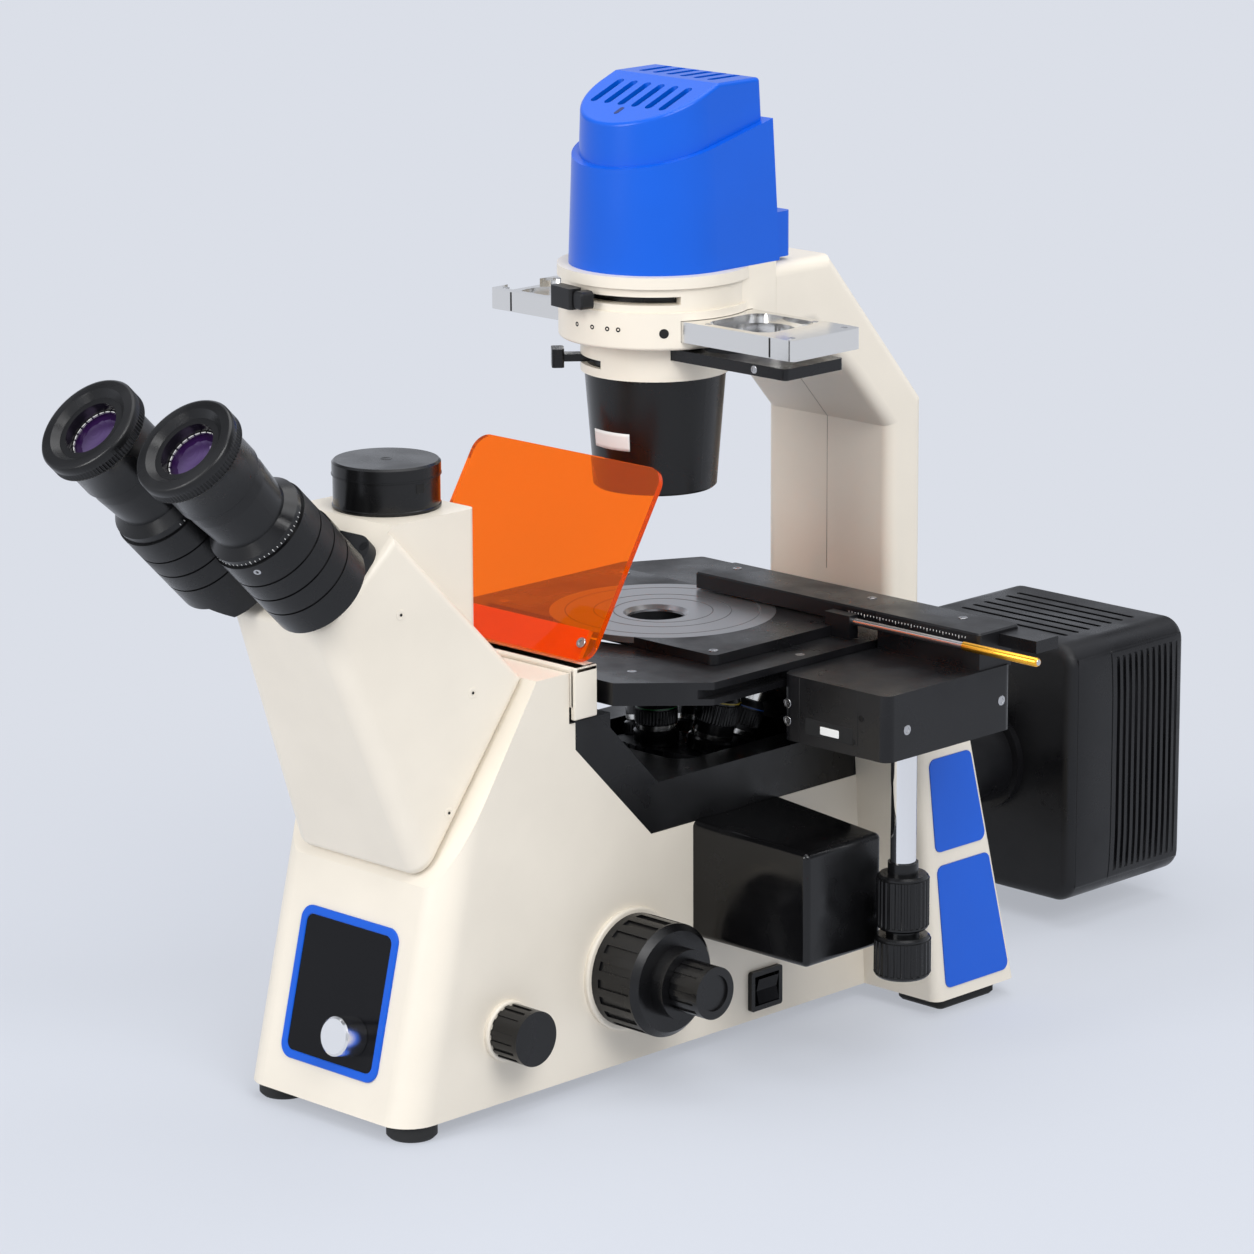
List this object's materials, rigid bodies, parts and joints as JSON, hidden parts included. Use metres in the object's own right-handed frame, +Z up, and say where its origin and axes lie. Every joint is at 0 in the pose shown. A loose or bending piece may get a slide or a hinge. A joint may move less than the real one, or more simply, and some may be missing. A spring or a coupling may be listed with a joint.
{
  "type": "inverted microscope",
  "caption": "Inverted microscope: cream stand, slanting binocular tubes, black stage under an orange shield, blue lamp cover over the condenser, rear arc-lamp housing.",
  "frame": {"origin": "centre of the footprint's box, on the table", "axes": "+Z up, +X to the user's right, +Y away from the user"},
  "size_m": [0.3228, 0.6813, 0.466],
  "materials": {
    "cream_paint": "satin, fine powder coat",
    "cream_moulding": "satin, fine powder coat",
    "black_paint": "fine black texture",
    "black_anodised": "black anodised, satin",
    "black_plastic": "fine grained",
    "black_gloss": "smooth",
    "blue_plastic": "semi-gloss moulding",
    "orange_acrylic": "clear orange acrylic",
    "glass": "coated optical glass",
    "bright_steel": "polished",
    "turned_aluminium": "turned, fine rings",
    "milled_aluminium": "milled and anodised",
    "machined_steel": "ground",
    "rubber": "matt",
    "ceramic": "unglazed"
  },
  "bodies": {
    "stand": {"arc_lamp": "ceramic", "base_casting": "cream_paint", "binocular_mount": "black_anodised", "bottom_plate": "black_paint", "camera_port_tube": "black_anodised", "condenser_cone": "black_anodised", "condenser_lenses": "glass", "control_panel": "black_gloss", "feet": "rubber", "focus_guide": "machined_steel", "head_left_shell": "cream_moulding", "head_right_shell": "cream_moulding", "illuminator_tube": "black_paint", "knob_escutcheons": "cream_moulding", "lamp_cover": "blue_plastic", "lamp_front_shell": "black_paint", "lamp_heat_sink": "milled_aluminium", "lamp_rear_shell": "black_paint", "lamp_ring_housing": "cream_moulding", "mains_inlet": "black_plastic", "nosepiece_well": "black_paint", "panel_frame": "blue_plastic", "pillar_left_shell": "cream_moulding", "pillar_right_shell": "cream_moulding", "relay_optics": "glass", "rocker_bezel": "black_plastic", "shield_bracket": "cream_paint", "side_filter_box": "black_paint", "stage_lower_plate": "black_anodised", "uv_shield": "orange_acrylic", "wing_inlays": "blue_plastic"},
    "port_cap": {"port_cap": "black_plastic"},
    "brightness": {"brightness_knob": "turned_aluminium"},
    "light_path": {"light_path_knob": "black_plastic"},
    "rocker": {"rocker": "black_gloss"},
    "coarse": {"coarse_knobs": "black_plastic"},
    "fine": {"fine_knobs": "black_plastic"},
    "nosepiece": {"nosepiece_carrier": "black_paint"},
    "turret": {"turret": "black_anodised", "objectives": "black_anodised"},
    "stage_y": {"stage_drive_box": "black_anodised", "stage_rail": "black_anodised", "stage_post": "bright_steel"},
    "stage_x": {"stage_upper_plate": "black_anodised", "stage_insert": "black_anodised", "rack_rod": "machined_steel"},
    "x_knob": {"x_knob": "black_plastic"},
    "y_knob": {"y_knob": "black_plastic"},
    "filter_slider": {"filter_slider": "milled_aluminium"},
    "phase_slider": {"phase_slider": "black_anodised"},
    "field_iris": {"field_iris_lever": "black_plastic"},
    "aperture_iris": {"aperture_iris_lever": "black_plastic"},
    "left_eye": {"left_eye_arm": "black_paint", "left_eyepiece": "black_anodised", "left_eye_lens": "glass"},
    "right_eye": {"right_eye_arm": "black_paint", "right_eyepiece": "black_anodised", "right_eye_lens": "glass"},
    "left_dioptre": {"left_dioptre_ring": "black_plastic"},
    "right_dioptre": {"right_dioptre_ring": "black_plastic"}
  },
  "joints": [
    {"name": "port_cap_lift", "type": "slide", "parent": "stand", "child": "port_cap", "axis": [0, 0, 1], "range_m": [0, 0.05]},
    {"name": "brightness_turn", "type": "hinge", "parent": "stand", "child": "brightness", "pos_m": [-0.03255, -0.21244, 0.04298], "axis": [0, -0.9715, 0.2368], "range_deg": [0, 270]},
    {"name": "light_path_turn", "type": "hinge", "parent": "stand", "child": "light_path", "pos_m": [0.01145, -0.15696, 0.043], "axis": [1, 0, 0], "range_deg": [0, 90]},
    {"name": "rocker_tip", "type": "hinge", "parent": "stand", "child": "rocker", "pos_m": [0.01095, 0.01804, 0.023], "axis": [0, 1, 0], "range_deg": [0, 8]},
    {"name": "nosepiece_lift", "type": "slide", "parent": "stand", "child": "nosepiece", "axis": [0, 0, 1], "range_m": [-0.007, 0.002]},
    {"name": "coarse_turn", "type": "hinge", "parent": "stand", "child": "coarse", "pos_m": [-0.04655, -0.07596, 0.0546], "axis": [1, 0, 0], "range_deg": [-70, 22]},
    {"name": "fine_turn", "type": "hinge", "parent": "stand", "child": "fine", "pos_m": [-0.04655, -0.07596, 0.0546], "axis": [1, 0, 0], "continuous": true},
    {"name": "turret_turn", "type": "hinge", "parent": "nosepiece", "child": "turret", "pos_m": [-0.04655, 0.00304, 0.0247], "axis": [0, 0.1908, 0.9816], "continuous": true},
    {"name": "stage_y_travel", "type": "slide", "parent": "stand", "child": "stage_y", "axis": [0, 1, 0], "range_m": [-0.02, 0.02]},
    {"name": "stage_x_travel", "type": "slide", "parent": "stage_y", "child": "stage_x", "axis": [1, 0, 0], "range_m": [-0.02, 0.02]},
    {"name": "y_knob_turn", "type": "hinge", "parent": "stage_y", "child": "y_knob", "pos_m": [0.10145, 0.01854, 0.06], "axis": [0, 0, 1], "range_deg": [-123, 123]},
    {"name": "x_knob_turn", "type": "hinge", "parent": "stage_y", "child": "x_knob", "pos_m": [0.10145, 0.01854, 0.086], "axis": [0, 0, 1], "range_deg": [-123, 123]},
    {"name": "filter_slider_travel", "type": "slide", "parent": "stand", "child": "filter_slider", "axis": [1, 0, 0], "range_m": [-0.07, 0.07]},
    {"name": "phase_slider_travel", "type": "slide", "parent": "stand", "child": "phase_slider", "axis": [1, 0, 0], "range_m": [0, 0.05]},
    {"name": "field_iris_turn", "type": "hinge", "parent": "stand", "child": "field_iris", "pos_m": [-0.04655, 0.00304, 0.3665], "axis": [0, 0, 1], "range_deg": [0, 62]},
    {"name": "aperture_iris_turn", "type": "hinge", "parent": "stand", "child": "aperture_iris", "pos_m": [-0.04655, 0.00304, 0.3322], "axis": [0, 0, 1], "range_deg": [-20, 31]},
    {"name": "left_eye_turn", "type": "hinge", "parent": "stand", "child": "left_eye", "pos_m": [-0.04655, -0.22246, 0.26601], "axis": [0, -0.7071, 0.7071], "range_deg": [-27, 15]},
    {"name": "right_eye_turn", "type": "hinge", "parent": "stand", "child": "right_eye", "pos_m": [-0.04655, -0.22246, 0.26601], "axis": [0, -0.7071, 0.7071], "range_deg": [-15, 27]},
    {"name": "left_dioptre_turn", "type": "hinge", "parent": "left_eye", "child": "left_dioptre", "pos_m": [-0.07895, -0.23426, 0.2542], "axis": [0, -0.7071, 0.7071], "range_deg": [-90, 90]},
    {"name": "right_dioptre_turn", "type": "hinge", "parent": "right_eye", "child": "right_dioptre", "pos_m": [-0.01415, -0.23426, 0.2542], "axis": [0, -0.7071, 0.7071], "range_deg": [-90, 90]}
  ],
  "couplings": [
    {"joint": "coarse_turn", "follows": "nosepiece_lift", "rad_per_m": 166.7},
    {"joint": "y_knob_turn", "follows": "stage_y_travel", "rad_per_m": 105.26},
    {"joint": "x_knob_turn", "follows": "stage_x_travel", "rad_per_m": 105.26},
    {"joint": "right_eye_turn", "follows": "left_eye_turn", "ratio": -1}
  ]
}
